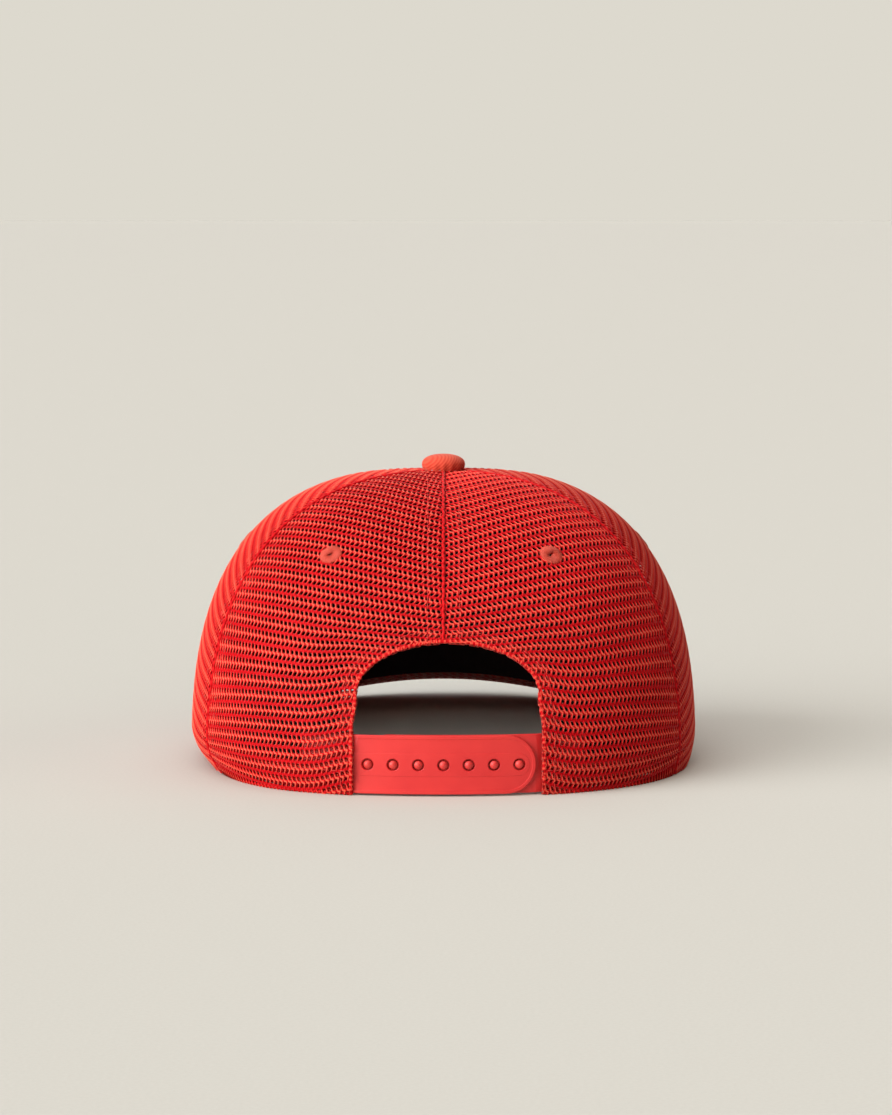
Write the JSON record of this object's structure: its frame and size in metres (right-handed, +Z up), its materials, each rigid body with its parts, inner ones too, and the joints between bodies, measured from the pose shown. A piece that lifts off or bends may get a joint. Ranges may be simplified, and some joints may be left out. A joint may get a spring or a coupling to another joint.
{
  "type": "trucker cap",
  "caption": "Trucker cap with solid front panels, open mesh sides and back, curved brim, fabric button, stitched eyelets and an arch over an adjustable snap strap.",
  "frame": {"origin": "centre of the cap's box on the surface that it stands on, z = 0 at the rim", "axes": "+Y points to the strap at the back and the brim points to -Y; +X is the wearer's left; +Z is up"},
  "size_m": [0.1765, 0.2578, 0.1074],
  "materials": {
    "mesh": "knitted polyester mesh",
    "twill": "cotton twill",
    "lining": "black plain weave",
    "tape": "woven tape",
    "sweatband": "brushed cotton",
    "under_cover": "cotton twill",
    "board": "moulded",
    "button_fabric": "ribbed twill",
    "metal": "zinc plated",
    "thread": "embroidery thread",
    "strap": "satin moulded plastic"
  },
  "bodies": {
    "cap": {"side_mesh_left": "mesh", "side_mesh_right": "mesh", "rear_mesh_left": "mesh", "rear_mesh_right": "mesh", "rim_hem_left": "mesh", "rim_hem_right": "mesh", "arch_hem": "mesh", "front_panel_left": "twill", "front_panel_right": "twill", "brim_edge_fold": "twill", "brim_top_cover": "twill", "front_lining": "lining", "sweatband": "sweatband", "brim_under_cover": "under_cover", "brim_board": "board", "seam_tape_front": "tape", "seam_tape_front_left": "tape", "seam_tape_front_right": "tape", "seam_tape_side_left": "tape", "seam_tape_side_right": "tape", "seam_tape_rear": "tape", "button_cover": "button_fabric", "button_core": "metal", "button_stem": "metal", "eyelet_front_left": "thread", "eyelet_front_right": "thread", "eyelet_side_left": "thread", "eyelet_side_right": "thread", "eyelet_rear_left": "thread", "eyelet_rear_right": "thread", "strap_root_left": "strap", "strap_root_right": "strap"},
    "outer_strap": {"hole_strap": "strap"},
    "inner_strap": {"peg_strap": "strap", "snap_pegs": "strap"}
  },
  "joints": [
    {"name": "outer_strap_bend", "type": "hinge", "parent": "cap", "child": "outer_strap", "pos_m": [0.0275, 0.12492, 0.0105], "axis": [0, 0, -1], "range_deg": [0, 75]},
    {"name": "inner_strap_bend", "type": "hinge", "parent": "cap", "child": "inner_strap", "pos_m": [-0.0296, 0.12294, 0.0105], "axis": [0, 0, -1], "range_deg": [0, 60]}
  ]
}
